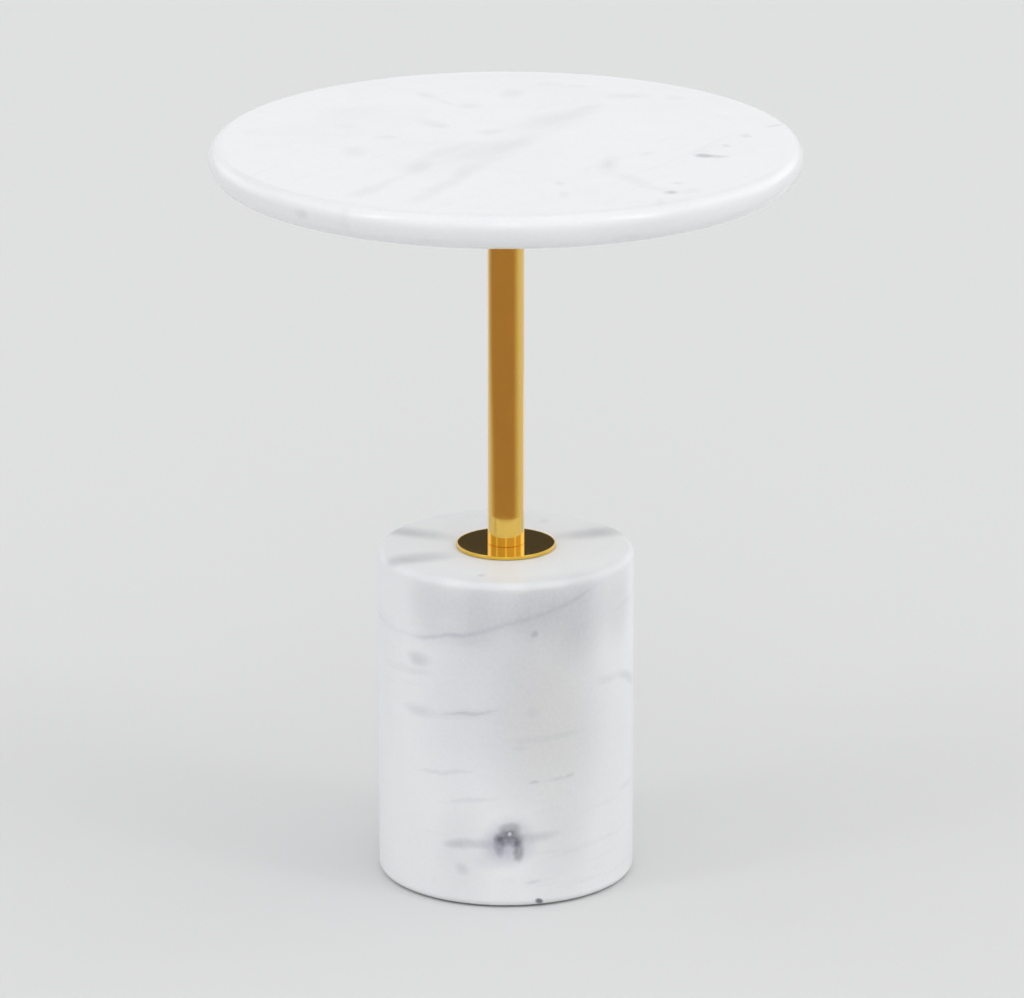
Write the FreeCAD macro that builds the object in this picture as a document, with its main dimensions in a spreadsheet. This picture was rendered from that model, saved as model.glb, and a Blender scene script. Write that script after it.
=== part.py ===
import FreeCAD, Part
import os

import Sketcher
from FreeCAD import Vector

# Marble pedestal side table: a round stone top on a polished brass tube and a stone cylinder.
# Millimetres, +Z up. The origin is on the floor, on the axis of the table. A threaded rod runs from
# the hub under the top, through the tube and the base, to a nut in a recess under the base. Its pull
# holds top plate, tube, flange and base together.

doc = FreeCAD.newDocument("pedestal_table")
sheet = doc.addObject("Spreadsheet::Sheet", "Sizes")

# Two places closer than this are one place when a rim is looked for by its size.
SAME_PLACE = 1e-4

# The driving dimensions: alias, value in millimetres (or a count), what it is.
SIZES = (
    ("top_diameter", 400, "table top, across"),
    ("top_thickness", 24, "table top, slab thickness"),
    ("top_upper_round", 9, "table top, round of the upper rim"),
    ("top_edge_band", 1, "table top, straight band between its two rounds"),
    ("stone_over_insert", 7, "stone left above the insert holes"),
    ("base_diameter", 175, "base block, across"),
    ("base_height", 231, "base block, height"),
    ("base_edge_round", 5, "base block, round of both rims"),
    ("base_bore_gap", 2, "base block, free space round the rod"),
    ("socket_gap", 0.5, "base block, free space round and under the bush"),
    ("recess_gap", 5, "base block, free space round the load washer"),
    ("recess_headroom", 10, "base block, free space under the rod's end"),
    ("recess_mouth_chamfer", 1, "base block, chamfer of the recess's mouth"),
    ("felt_thickness", 1, "felt disc, felt thickness"),
    ("felt_inset", 1, "felt disc, in from the flat of the base"),
    ("felt_round", 0.3, "felt disc, round of its rims"),
    ("tube_diameter", 25, "stem tube, outside"),
    ("tube_wall", 1.5, "stem tube, wall"),
    ("tube_length", 253, "stem tube, cut length"),
    ("tube_chamfer", 0.3, "stem tube, chamfer of its ends"),
    ("flange_diameter", 68, "flange, across"),
    ("flange_thickness", 2, "flange, thickness"),
    ("flange_round", 0.3, "flange, round of the upper rim"),
    ("gasket_thickness", 0.5, "flange gasket, thickness"),
    ("gasket_inset", 3, "flange gasket, in from the rim of the flange"),
    ("bush_fit", 0.1, "centring bush and hub, free space in the tube"),
    ("bush_in_tube", 20, "centring bush, length in the tube"),
    ("bush_in_base", 16, "centring bush, length in the base"),
    ("bush_chamfer", 1, "centring bush and hub, chamfer of the ends"),
    ("rod_diameter", 10, "tie rod, across its thread"),
    ("rod_engagement", 16, "tie rod, length screwed into the hub"),
    ("rod_runout", 4, "hub, hole left over above the rod"),
    ("rod_tail", 4, "tie rod, length below the nut"),
    ("rod_chamfer", 1, "tie rod, chamfer of the ends"),
    ("rod_gap", 0.5, "bush and washers, free space round the rod"),
    ("thread_gap", 0.1, "threaded holes, free space round the screw"),
    ("nut_wall", 3.5, "nut, least wall round the thread"),
    ("nut_height", 8, "nut, height"),
    ("load_washer_diameter", 40, "load washer, across"),
    ("load_washer_thickness", 3, "load washer, thickness"),
    ("load_washer_chamfer", 0.5, "load washer, chamfer of the lower rim"),
    ("spring_washer_width", 3.5, "spring washer, width of the ring"),
    ("spring_washer_thickness", 2.2, "spring washer, thickness when tight"),
    ("spring_washer_slit", 1.2, "spring washer, width of the slit"),
    ("spring_washer_lean", 0.8, "spring washer, sideways lean of the slit"),
    ("hub_head_step", 4, "hub, head beyond the barrel all round"),
    ("hub_head_thickness", 2.5, "hub, head thickness"),
    ("hub_head_gap", 0.2, "top plate, free space round the hub's head"),
    ("plate_diameter", 120, "top plate, across"),
    ("plate_thickness", 5, "top plate, thickness"),
    ("plate_round", 1.5, "top plate, round of the lower rim"),
    ("plate_gasket_thickness", 1, "plate gasket, thickness"),
    ("plate_gasket_inset", 2, "plate gasket, in from the rim of the plate"),
    ("screw_count", 4, "plate screws, how many"),
    ("screw_margin", 15, "plate screws, centre in from the rim of the plate"),
    ("screw_diameter", 6, "plate screws, across the thread"),
    ("screw_head_step", 3, "plate screws, head beyond the shank all round"),
    ("screw_gap", 0.3, "top plate, free space round the screws"),
    ("screw_tip_gap", 2, "plate screws, short of the end of the insert"),
    ("screw_tip_chamfer", 0.8, "plate screws, chamfer of the tip"),
    ("screw_socket_flats", 4, "plate screws, socket across flats"),
    ("screw_socket_depth", 2.2, "plate screws, socket depth"),
    ("insert_wall", 1.9, "stone inserts, wall round the thread"),
    ("insert_fit", 0.1, "stone inserts, free space in the stone"),
    ("insert_end_gap", 1, "stone inserts, free space at the end of the hole"),
    ("insert_groove_depth", 0.6, "stone inserts, depth of the glue grooves"),
    ("cut_overrun", 2, "cuts, how far they run past the piece"),
)


def fill_sheet():
    """Writes the driving dimensions into the spreadsheet, one aliased cell each."""
    for row, (alias, amount, words) in enumerate(SIZES, 1):
        sheet.set(f"A{row}", words)
        sheet.set(f"B{row}", str(amount))
        sheet.setAlias(f"B{row}", alias)
    doc.recompute()


def value(expression):
    """The number that an expression of the sheet gives now."""
    return float(sheet.evalExpression(expression))


fill_sheet()

# Sizes that several pieces share, as expressions of the sheet.
ROD = "Sizes.rod_diameter"
ROD_HOLE = "(Sizes.rod_diameter + 2 * Sizes.rod_gap)"
ROD_THREAD_HOLE = "(Sizes.rod_diameter + 2 * Sizes.thread_gap)"
TUBE_BORE = "(Sizes.tube_diameter - 2 * Sizes.tube_wall)"
BUSH = f"({TUBE_BORE} - 2 * Sizes.bush_fit)"
BUSH_HOLE = f"({BUSH} + 2 * Sizes.bush_fit)"
HUB_HEAD = f"({BUSH} + 2 * Sizes.hub_head_step)"
HUB_THREAD_DEPTH = "(Sizes.rod_engagement + Sizes.rod_runout)"
NUT_FLATS = f"({ROD} + 2 * Sizes.nut_wall)"
RECESS = "(Sizes.load_washer_diameter + 2 * Sizes.recess_gap)"
RECESS_STACK = (
    "(Sizes.load_washer_thickness + Sizes.spring_washer_thickness + Sizes.nut_height + Sizes.rod_tail)"
)
RECESS_DEPTH = f"({RECESS_STACK} + Sizes.recess_headroom)"
SCREW_CIRCLE_RADIUS = "(Sizes.plate_diameter / 2 - Sizes.screw_margin)"
SCREW_HEAD = "(Sizes.screw_diameter + 2 * Sizes.screw_head_step)"
SCREW_HOLE = "(Sizes.screw_diameter + 2 * Sizes.screw_gap)"
INSERT_BORE = "(Sizes.screw_diameter + 2 * Sizes.thread_gap)"
INSERT = f"({INSERT_BORE} + 2 * Sizes.insert_wall)"
INSERT_HOLE_DEPTH = "(Sizes.top_thickness - Sizes.stone_over_insert)"
INSERT_LENGTH = f"({INSERT_HOLE_DEPTH} - Sizes.insert_end_gap)"
SCREW_LENGTH = (
    f"(Sizes.plate_thickness + Sizes.plate_gasket_thickness + {INSERT_LENGTH} - Sizes.screw_tip_gap)"
)

# Heights above the floor, from the felt up to the table top.
BASE_BOTTOM = "Sizes.felt_thickness"
BASE_TOP = f"({BASE_BOTTOM} + Sizes.base_height)"
FLANGE_BOTTOM = f"({BASE_TOP} + Sizes.gasket_thickness)"
FLANGE_TOP = f"({FLANGE_BOTTOM} + Sizes.flange_thickness)"
TUBE_TOP = f"({FLANGE_TOP} + Sizes.tube_length)"
PLATE_TOP = f"({TUBE_TOP} + Sizes.plate_thickness)"
STONE_BOTTOM = f"({PLATE_TOP} + Sizes.plate_gasket_thickness)"
RECESS_CEILING = f"({BASE_BOTTOM} + {RECESS_DEPTH})"
LOAD_WASHER_BOTTOM = f"({RECESS_CEILING} - Sizes.load_washer_thickness)"
SPRING_WASHER_BOTTOM = f"({LOAD_WASHER_BOTTOM} - Sizes.spring_washer_thickness)"
NUT_BOTTOM = f"({SPRING_WASHER_BOTTOM} - Sizes.nut_height)"
ROD_BOTTOM = f"({NUT_BOTTOM} - Sizes.rod_tail)"
ROD_TOP = f"({TUBE_TOP} - Sizes.rod_runout)"


# Ways of making a feature that the pieces share.


def new_body(label, height):
    """A body that stands at a height above the floor."""
    body = doc.addObject("PartDesign::Body", label)
    body.Label = label
    body.setExpression("Placement.Base.z", height)
    return body


def origin_feature(body, role):
    """One of the body's own origin planes or axes."""
    return next(f for f in body.Origin.OriginFeatures if f.Role == role)


def new_sketch(body, name, plane="XY_Plane", lift=None):
    """A sketch on an origin plane of the body, or raised from it."""
    sketch = body.newObject("Sketcher::SketchObject", f"{body.Label}_{name}")
    sketch.AttachmentSupport = [(origin_feature(body, plane), "")]
    sketch.MapMode = "FlatFace"
    if lift:
        sketch.setExpression("AttachmentOffset.Base.z", lift)
    return sketch


def bind(sketch, constraint, expression):
    """Adds a constraint whose size is an expression of the sheet."""
    index = sketch.addConstraint(constraint)
    sketch.setExpression(f"Constraints[{index}]", expression)


def add_circle(sketch, diameter, off_axis=None):
    """A circle about the origin, or about a point of the X axis."""
    centre = Vector(value(off_axis) if off_axis else 0, 0, 0)
    circle = sketch.addGeometry(Part.Circle(centre, Vector(0, 0, 1), value(diameter) / 2), False)
    if off_axis:
        sketch.addConstraint(Sketcher.Constraint("PointOnObject", circle, 3, -1))
        bind(sketch, Sketcher.Constraint("DistanceX", -1, 1, circle, 3, value(off_axis)), off_axis)
    else:
        sketch.addConstraint(Sketcher.Constraint("Coincident", circle, 3, -1, 1))
    bind(sketch, Sketcher.Constraint("Diameter", circle, value(diameter)), diameter)


def add_hexagon(sketch, flats, off_axis=None):
    """A regular hexagon by its size across flats, about the origin or a point of the X axis."""
    circle_diameter = f"(2 * {flats} / sqrt(3))"
    add_circle(sketch, circle_diameter, off_axis)
    circle = sketch.GeometryCount - 1
    sketch.toggleConstruction(circle)
    centre = Vector(value(off_axis) if off_axis else 0, 0, 0)
    reach = Vector(value(circle_diameter) / 2, 0, 0)
    turns = [FreeCAD.Rotation(Vector(0, 0, 1), 60 * side) for side in range(6)]
    corners = [centre + turn.multVec(reach) for turn in turns]
    sides = [
        sketch.addGeometry(Part.LineSegment(corners[side], corners[(side + 1) % 6]), False)
        for side in range(6)
    ]
    for side in range(6):
        following = sides[(side + 1) % 6]
        sketch.addConstraint(Sketcher.Constraint("Coincident", sides[side], 2, following, 1))
        sketch.addConstraint(Sketcher.Constraint("PointOnObject", sides[side], 1, circle))
    for side in sides[1:]:
        sketch.addConstraint(Sketcher.Constraint("Equal", sides[0], side))
    sketch.addConstraint(Sketcher.Constraint("PointOnObject", sides[0], 1, -1))


def add_outline(sketch, corners):
    """A closed outline of straight sides; each corner is a pair of expressions, or None for zero."""
    points = [Vector(*(value(c) if c else 0 for c in corner), 0) for corner in corners]
    sides = [
        sketch.addGeometry(Part.LineSegment(point, points[(i + 1) % len(points)]), False)
        for i, point in enumerate(points)
    ]
    for i, side in enumerate(sides):
        sketch.addConstraint(Sketcher.Constraint("Coincident", side, 2, sides[(i + 1) % len(sides)], 1))
    for side, point, (across, up) in zip(sides, points, corners):
        if across:
            bind(sketch, Sketcher.Constraint("DistanceX", -1, 1, side, 1, point.x), across)
        else:
            sketch.addConstraint(Sketcher.Constraint("PointOnObject", side, 1, -2))
        if up:
            bind(sketch, Sketcher.Constraint("DistanceY", -1, 1, side, 1, point.y), up)
        else:
            sketch.addConstraint(Sketcher.Constraint("PointOnObject", side, 1, -1))


def pad(body, name, sketch, length):
    """Raises a sketch into a solid."""
    feature = body.newObject("PartDesign::Pad", f"{body.Label}_{name}")
    feature.Profile = sketch
    feature.setExpression("Length", length)
    doc.recompute()
    return feature


def must_cut(body, feature, volume_before):
    """Stops the build where a cut took nothing away."""
    if feature.Shape.isNull() or feature.Shape.Volume > volume_before - SAME_PLACE:
        raise RuntimeError(f"{body.Label}: {feature.Label} cuts nothing")


def pocket(body, name, sketch, depth=None, upwards=False):
    """Cuts a sketch into the body, to a depth or right through."""
    volume_before = body.Shape.Volume
    feature = body.newObject("PartDesign::Pocket", f"{body.Label}_{name}")
    feature.Profile = sketch
    feature.Reversed = upwards
    if depth:
        feature.setExpression("Length", depth)
    else:
        feature.Type = "ThroughAll"
    doc.recompute()
    must_cut(body, feature, volume_before)
    return feature


def groove(body, name, sketch):
    """Turns a half outline about the body's own axis and cuts it away."""
    volume_before = body.Shape.Volume
    feature = body.newObject("PartDesign::Groove", f"{body.Label}_{name}")
    feature.Profile = sketch
    feature.ReferenceAxis = (origin_feature(body, "Z_Axis"), [""])
    doc.recompute()
    must_cut(body, feature, volume_before)
    return feature


def rims(feature, *places):
    """Names of the round edges with these diameters at these heights in the body's own frame."""
    names = []
    for diameter, height in places:
        radius = value(diameter) / 2
        level = value(height) if height else 0
        found = [
            f"Edge{i}"
            for i, edge in enumerate(feature.Shape.Edges, 1)
            if isinstance(edge.Curve, Part.Circle)
            and abs(edge.Curve.Radius - radius) < SAME_PLACE
            and abs(edge.Curve.Center.z - level) < SAME_PLACE
        ]
        if not found:
            raise RuntimeError(f"{feature.Label} has no rim {diameter} across at {height}")
        names += found
    return names


def dress(body, name, kind, base, places, amount):
    """Fillets or chamfers rims of the body's last feature."""
    feature = body.newObject(f"PartDesign::{kind}", f"{body.Label}_{name}")
    feature.Base = (base, rims(base, *places))
    feature.setExpression("Radius" if kind == "Fillet" else "Size", amount)
    doc.recompute()
    return feature


def around_axis(body, name, originals):
    """Repeats features evenly about the axis, once for each plate screw."""
    pattern = body.newObject("PartDesign::PolarPattern", f"{body.Label}_{name}")
    pattern.Originals = originals
    pattern.Axis = (origin_feature(body, "Z_Axis"), [""])
    pattern.Angle = 360
    pattern.setExpression("Occurrences", "Sizes.screw_count")
    body.Tip = pattern
    doc.recompute()
    return pattern


def ring(label, height, outside, hole, thickness):
    """A flat ring or a length of tube; gives the body and its one feature."""
    body = new_body(label, height)
    outline = new_sketch(body, "outline")
    add_circle(outline, outside)
    add_circle(outline, hole)
    return body, pad(body, "blank", outline, thickness)


# The pieces, from the floor up.


def make_felt_disc():
    """Felt disc under the flat of the base; it also covers the recess."""
    across = "(Sizes.base_diameter - 2 * Sizes.base_edge_round - 2 * Sizes.felt_inset)"
    body = new_body("felt_disc", "0")
    outline = new_sketch(body, "outline")
    add_circle(outline, across)
    disc = pad(body, "disc", outline, "Sizes.felt_thickness")
    both_rims = [(across, None), (across, "Sizes.felt_thickness")]
    dress(body, "soft_rims", "Fillet", disc, both_rims, "Sizes.felt_round")
    return body


def make_base_block():
    """Stone cylinder: a bore for the rod, a recess for nut and washers, a socket for the bush."""
    body = new_body("base_block", BASE_BOTTOM)
    outline = new_sketch(body, "outline")
    add_circle(outline, "Sizes.base_diameter")
    pad(body, "cylinder", outline, "Sizes.base_height")

    recess = new_sketch(body, "recess_outline")
    add_circle(recess, RECESS)
    pocket(body, "recess", recess, RECESS_DEPTH, upwards=True)

    bore = new_sketch(body, "bore_outline")
    add_circle(bore, f"({ROD} + 2 * Sizes.base_bore_gap)")
    pocket(body, "bore", bore, upwards=True)

    socket = new_sketch(body, "socket_outline", lift="Sizes.base_height")
    add_circle(socket, f"({BUSH} + 2 * Sizes.socket_gap)")
    drilled = pocket(body, "socket", socket, "Sizes.bush_in_base + Sizes.socket_gap")

    outer_rims = [("Sizes.base_diameter", None), ("Sizes.base_diameter", "Sizes.base_height")]
    rounded = dress(body, "rims", "Fillet", drilled, outer_rims, "Sizes.base_edge_round")
    dress(body, "mouth", "Chamfer", rounded, [(RECESS, None)], "Sizes.recess_mouth_chamfer")
    return body


def make_load_washer():
    """Wide washer that spreads the pull of the rod over the roof of the recess."""
    across = "Sizes.load_washer_diameter"
    body, blank = ring("load_washer", LOAD_WASHER_BOTTOM, across, ROD_HOLE, "Sizes.load_washer_thickness")
    dress(body, "lower_rim", "Chamfer", blank, [(across, None)], "Sizes.load_washer_chamfer")
    return body


def make_spring_washer():
    """Split lock washer, pressed flat, with a leaning slit."""
    outside = f"({ROD_HOLE} + 2 * Sizes.spring_washer_width)"
    body, _ = ring("spring_washer", SPRING_WASHER_BOTTOM, outside, ROD_HOLE, "Sizes.spring_washer_thickness")
    slit = new_sketch(body, "slit_outline", plane="YZ_Plane")
    far_side = "(Sizes.spring_washer_lean + Sizes.spring_washer_slit)"
    corners = [
        (None, None),
        ("Sizes.spring_washer_slit", None),
        (far_side, "Sizes.spring_washer_thickness"),
        ("Sizes.spring_washer_lean", "Sizes.spring_washer_thickness"),
    ]
    add_outline(slit, corners)
    pocket(body, "slit", slit, f"{outside} / 2 + Sizes.cut_overrun", upwards=True)
    return body


def make_base_nut():
    """Hexagon nut with its corners turned off at both ends."""
    body = new_body("base_nut", NUT_BOTTOM)
    outline = new_sketch(body, "outline")
    add_hexagon(outline, NUT_FLATS)
    add_circle(outline, ROD_THREAD_HOLE)
    pad(body, "blank", outline, "Sizes.nut_height")

    flats_radius = f"{NUT_FLATS} / 2"
    corner_radius = f"({NUT_FLATS} / sqrt(3) + Sizes.cut_overrun)"
    drop = f"(({corner_radius} - {flats_radius}) * tan(30 deg))"
    lower_corners = new_sketch(body, "lower_corners", plane="XZ_Plane")
    add_outline(lower_corners, [(flats_radius, None), (corner_radius, None), (corner_radius, drop)])
    groove(body, "lower_chamfer", lower_corners)
    upper_corners = new_sketch(body, "upper_corners", plane="XZ_Plane")
    top = "Sizes.nut_height"
    below_top = f"{top} - {drop}"
    add_outline(upper_corners, [(flats_radius, top), (corner_radius, top), (corner_radius, below_top)])
    groove(body, "upper_chamfer", upper_corners)
    return body


def make_tie_rod():
    """Threaded rod, drawn at its outside diameter, from below the nut up into the hub."""
    length = f"({ROD_TOP} - {ROD_BOTTOM})"
    body = new_body("tie_rod", ROD_BOTTOM)
    outline = new_sketch(body, "outline")
    add_circle(outline, ROD)
    bar = pad(body, "bar", outline, length)
    dress(body, "ends", "Chamfer", bar, [(ROD, None), (ROD, length)], "Sizes.rod_chamfer")
    return body


def make_centring_bush():
    """Turned bush in the tube's foot that reaches through the flange into the base."""
    length = f"(Sizes.bush_in_base + {FLANGE_TOP} - {BASE_TOP} + Sizes.bush_in_tube)"
    body, blank = ring("centring_bush", f"{BASE_TOP} - Sizes.bush_in_base", BUSH, ROD_HOLE, length)
    dress(body, "ends", "Chamfer", blank, [(BUSH, None), (BUSH, length)], "Sizes.bush_chamfer")
    return body


def make_flange_gasket():
    """Thin rubber ring that keeps the flange off the stone."""
    outside = "(Sizes.flange_diameter - 2 * Sizes.gasket_inset)"
    body, _ = ring("flange_gasket", BASE_TOP, outside, BUSH_HOLE, "Sizes.gasket_thickness")
    return body


def make_flange():
    """Polished disc at the foot of the tube."""
    body, blank = ring("flange", FLANGE_BOTTOM, "Sizes.flange_diameter", BUSH_HOLE, "Sizes.flange_thickness")
    upper_rim = [("Sizes.flange_diameter", "Sizes.flange_thickness")]
    dress(body, "upper_rim", "Fillet", blank, upper_rim, "Sizes.flange_round")
    return body


def make_stem_tube():
    """Polished tube between the flange and the top plate."""
    body, blank = ring("stem_tube", FLANGE_TOP, "Sizes.tube_diameter", TUBE_BORE, "Sizes.tube_length")
    ends = [("Sizes.tube_diameter", None), ("Sizes.tube_diameter", "Sizes.tube_length")]
    dress(body, "ends", "Chamfer", blank, ends, "Sizes.tube_chamfer")
    return body


def make_top_hub():
    """Threaded hub in the upper end of the tube; the rod pulls its head down on the top plate."""
    length = f"({HUB_THREAD_DEPTH} + Sizes.plate_thickness)"
    body = new_body("top_hub", f"{TUBE_TOP} - {HUB_THREAD_DEPTH}")
    outline = new_sketch(body, "outline")
    add_circle(outline, BUSH)
    pad(body, "barrel", outline, length)
    head = new_sketch(body, "head_outline", lift=f"{length} - Sizes.hub_head_thickness")
    add_circle(head, HUB_HEAD)
    pad(body, "head", head, "Sizes.hub_head_thickness")
    thread = new_sketch(body, "thread_outline")
    add_circle(thread, ROD_THREAD_HOLE)
    tapped = pocket(body, "thread", thread, HUB_THREAD_DEPTH, upwards=True)
    dress(body, "lower_rim", "Chamfer", tapped, [(BUSH, None)], "Sizes.bush_chamfer")
    return body


def make_top_plate():
    """Steel plate under the stone: a sunk seat for the hub's head and countersunk screw holes."""
    body, disc = ring("top_plate", TUBE_TOP, "Sizes.plate_diameter", BUSH_HOLE, "Sizes.plate_thickness")
    dress(body, "lower_rim", "Fillet", disc, [("Sizes.plate_diameter", None)], "Sizes.plate_round")
    seat = new_sketch(body, "seat_outline", lift="Sizes.plate_thickness")
    add_circle(seat, f"({HUB_HEAD} + 2 * Sizes.hub_head_gap)")
    seated = pocket(body, "seat", seat, "Sizes.hub_head_thickness")

    place = new_sketch(body, "screw_place")
    add_circle(place, SCREW_HOLE, SCREW_CIRCLE_RADIUS)
    hole = body.newObject("PartDesign::Hole", "top_plate_screw_hole")
    hole.Profile = place
    hole.Reversed = True
    hole.ThreadType = "None"
    hole.DepthType = "ThroughAll"
    hole.HoleCutType = "Countersink"
    hole.HoleCutCustomValues = True
    hole.HoleCutCountersinkAngle = 90
    hole.setExpression("Diameter", SCREW_HOLE)
    hole.setExpression("HoleCutDiameter", f"{SCREW_HEAD} + 2 * Sizes.screw_gap")
    doc.recompute()
    must_cut(body, hole, seated.Shape.Volume)
    around_axis(body, "screw_holes", [hole])
    return body


def make_plate_gasket():
    """Thin rubber disc between the plate and the stone, open over the inserts."""
    body = new_body("plate_gasket", PLATE_TOP)
    outline = new_sketch(body, "outline")
    add_circle(outline, "Sizes.plate_diameter - 2 * Sizes.plate_gasket_inset")
    pad(body, "disc", outline, "Sizes.plate_gasket_thickness")
    place = new_sketch(body, "insert_place")
    add_circle(place, INSERT, SCREW_CIRCLE_RADIUS)
    around_axis(body, "insert_holes", [pocket(body, "insert_hole", place, upwards=True)])
    return body


def turned_off_axis(body, name, half_outline):
    """Turns a half outline about an upright axis through the first screw's place."""
    sketch = new_sketch(body, f"{name}_outline", plane="XZ_Plane")
    across = value(SCREW_CIRCLE_RADIUS)
    axis_foot = Vector(across, 0, 0)
    axis_head = Vector(across, value(SCREW_LENGTH), 0)
    axis = sketch.addGeometry(Part.LineSegment(axis_foot, axis_head), True)
    sketch.addConstraint(Sketcher.Constraint("PointOnObject", axis, 1, -1))
    sketch.addConstraint(Sketcher.Constraint("Vertical", axis))
    bind(sketch, Sketcher.Constraint("DistanceX", -1, 1, axis, 1, across), SCREW_CIRCLE_RADIUS)
    bind(sketch, Sketcher.Constraint("DistanceY", axis, 1, axis, 2, axis_head.y), SCREW_LENGTH)
    from_axis = [(f"{SCREW_CIRCLE_RADIUS} + {r}" if r else SCREW_CIRCLE_RADIUS, z) for r, z in half_outline]
    add_outline(sketch, from_axis)
    turned = body.newObject("PartDesign::Revolution", f"{body.Label}_{name}")
    turned.Profile = sketch
    turned.ReferenceAxis = (sketch, ["Axis0"])
    doc.recompute()
    return turned


def make_plate_screws():
    """Countersunk socket screws, heads down and flush with the underside of the plate."""
    body = new_body("plate_screws", TUBE_TOP)
    head_radius = f"{SCREW_HEAD} / 2"
    shank_radius = "Sizes.screw_diameter / 2"
    half_outline = [
        (None, None),
        (head_radius, None),
        (shank_radius, "Sizes.screw_head_step"),
        (shank_radius, f"{SCREW_LENGTH} - Sizes.screw_tip_chamfer"),
        (f"{shank_radius} - Sizes.screw_tip_chamfer", SCREW_LENGTH),
        (None, SCREW_LENGTH),
    ]
    screw = turned_off_axis(body, "screw", half_outline)
    socket = new_sketch(body, "socket_outline")
    add_hexagon(socket, "Sizes.screw_socket_flats", SCREW_CIRCLE_RADIUS)
    recess = pocket(body, "socket", socket, "Sizes.screw_socket_depth", upwards=True)
    around_axis(body, "all", [screw, recess])
    return body


def make_stone_inserts():
    """Threaded inserts glued into the underside of the top, each with two glue grooves."""
    body = new_body("stone_inserts", STONE_BOTTOM)
    bore_radius = f"{INSERT_BORE} / 2"
    radius = f"{INSERT} / 2"
    groove_radius = f"({radius} - Sizes.insert_groove_depth)"
    bands = 5
    half_outline = [(bore_radius, None)]
    for band in range(bands):
        band_radius = groove_radius if band % 2 else radius
        half_outline.append((band_radius, f"{INSERT_LENGTH} * {band} / {bands}" if band else None))
        half_outline.append((band_radius, f"{INSERT_LENGTH} * {band + 1} / {bands}"))
    half_outline.append((bore_radius, INSERT_LENGTH))
    around_axis(body, "all", [turned_off_axis(body, "insert", half_outline)])
    return body


def make_table_top():
    """Round stone slab, rounded above and below, with blind holes for the inserts."""
    across = "Sizes.top_diameter"
    thickness = "Sizes.top_thickness"
    body = new_body("table_top", STONE_BOTTOM)
    outline = new_sketch(body, "outline")
    add_circle(outline, across)
    slab = pad(body, "slab", outline, thickness)
    upper = dress(body, "upper_rim", "Fillet", slab, [(across, thickness)], "Sizes.top_upper_round")
    lower_round = f"{thickness} - Sizes.top_upper_round - Sizes.top_edge_band"
    dress(body, "lower_rim", "Fillet", upper, [(across, None)], lower_round)
    place = new_sketch(body, "insert_place")
    add_circle(place, f"({INSERT} + 2 * Sizes.insert_fit)", SCREW_CIRCLE_RADIUS)
    around_axis(body, "insert_holes", [pocket(body, "insert_hole", place, INSERT_HOLE_DEPTH, upwards=True)])
    return body


PIECES = (
    make_felt_disc,
    make_base_block,
    make_load_washer,
    make_spring_washer,
    make_base_nut,
    make_tie_rod,
    make_centring_bush,
    make_flange_gasket,
    make_flange,
    make_stem_tube,
    make_top_hub,
    make_top_plate,
    make_plate_gasket,
    make_plate_screws,
    make_stone_inserts,
    make_table_top,
)


def check(bodies):
    """Stops the build if any object failed or any piece has no sound solid."""
    doc.recompute()
    failed = [o.Label for o in doc.Objects if "Invalid" in o.State or "Error" in o.State]
    failed += [b.Label for b in bodies if b.Shape.isNull() or not b.Shape.isValid() or not b.Shape.Solids]
    if failed:
        raise RuntimeError(f"these failed: {failed}")


def write(bodies):
    """Writes each piece to a STEP file of its own."""
    os.makedirs("parts", exist_ok=True)
    for body in bodies:
        body.Shape.exportStep(os.path.join("parts", f"{body.Label}.step"))
        print(f"{body.Label}: {len(body.Shape.Solids)} solid(s), {body.Shape.Volume / 1000:.2f} cm3")


made = [make() for make in PIECES]
check(made)
write(made)
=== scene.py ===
import math
from typing import NamedTuple

import bmesh
import bpy
from bpy.props import FloatProperty, FloatVectorProperty, IntProperty, PointerProperty
from bpy.types import Operator, Panel, PropertyGroup
from mathutils import Matrix, Vector


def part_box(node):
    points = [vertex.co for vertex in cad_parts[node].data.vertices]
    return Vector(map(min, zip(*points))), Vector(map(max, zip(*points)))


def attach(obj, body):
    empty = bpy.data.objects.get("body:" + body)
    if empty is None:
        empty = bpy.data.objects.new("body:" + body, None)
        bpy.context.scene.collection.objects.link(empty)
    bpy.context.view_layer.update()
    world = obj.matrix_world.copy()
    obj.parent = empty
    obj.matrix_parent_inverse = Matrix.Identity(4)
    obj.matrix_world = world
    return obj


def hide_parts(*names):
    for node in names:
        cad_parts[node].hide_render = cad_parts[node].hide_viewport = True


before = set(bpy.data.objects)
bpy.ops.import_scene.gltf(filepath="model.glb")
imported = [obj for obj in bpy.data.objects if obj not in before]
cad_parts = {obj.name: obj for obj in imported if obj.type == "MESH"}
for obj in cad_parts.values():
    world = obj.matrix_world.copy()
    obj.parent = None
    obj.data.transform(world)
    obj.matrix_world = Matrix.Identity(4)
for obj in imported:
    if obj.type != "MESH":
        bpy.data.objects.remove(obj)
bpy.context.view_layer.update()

bl_info = {
    "name": "Pedestal Side Table",
    "version": (1, 0, 0),
    "blender": (4, 5, 0),
    "location": "View3D > Sidebar > Side Table",
    "description": "Dresses a marble side table with a brass stem and sets it on a studio floor",
    "category": "Object",
}

MM = 0.001
BODY = "root"
# Two points nearer than this are one point.
SAME_POINT = 1e-6
# One narrow ring beside each round keeps the flats flat.
FLAT_RING = MM
# Free space between a stone insert and the wall of its hole.
INSERT_GAP = 0.1 * MM
# Corners sharper than this stay sharp when a piece is shaded smooth.
SHARP_CORNER = math.radians(30)
# Flats of a small round, and sides and steps of other round shapes.
SMALL_ROUND_STEPS = 4
HOLE_SIDES = 48
FLOOR_SIDES = 96
FLAG_SIDES = 64
BROWN_CARD_STEPS = 48
WHITE_CARD_STEPS = 8
# How far the camera sees, in metres.
CAMERA_REACH = 200.0
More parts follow.
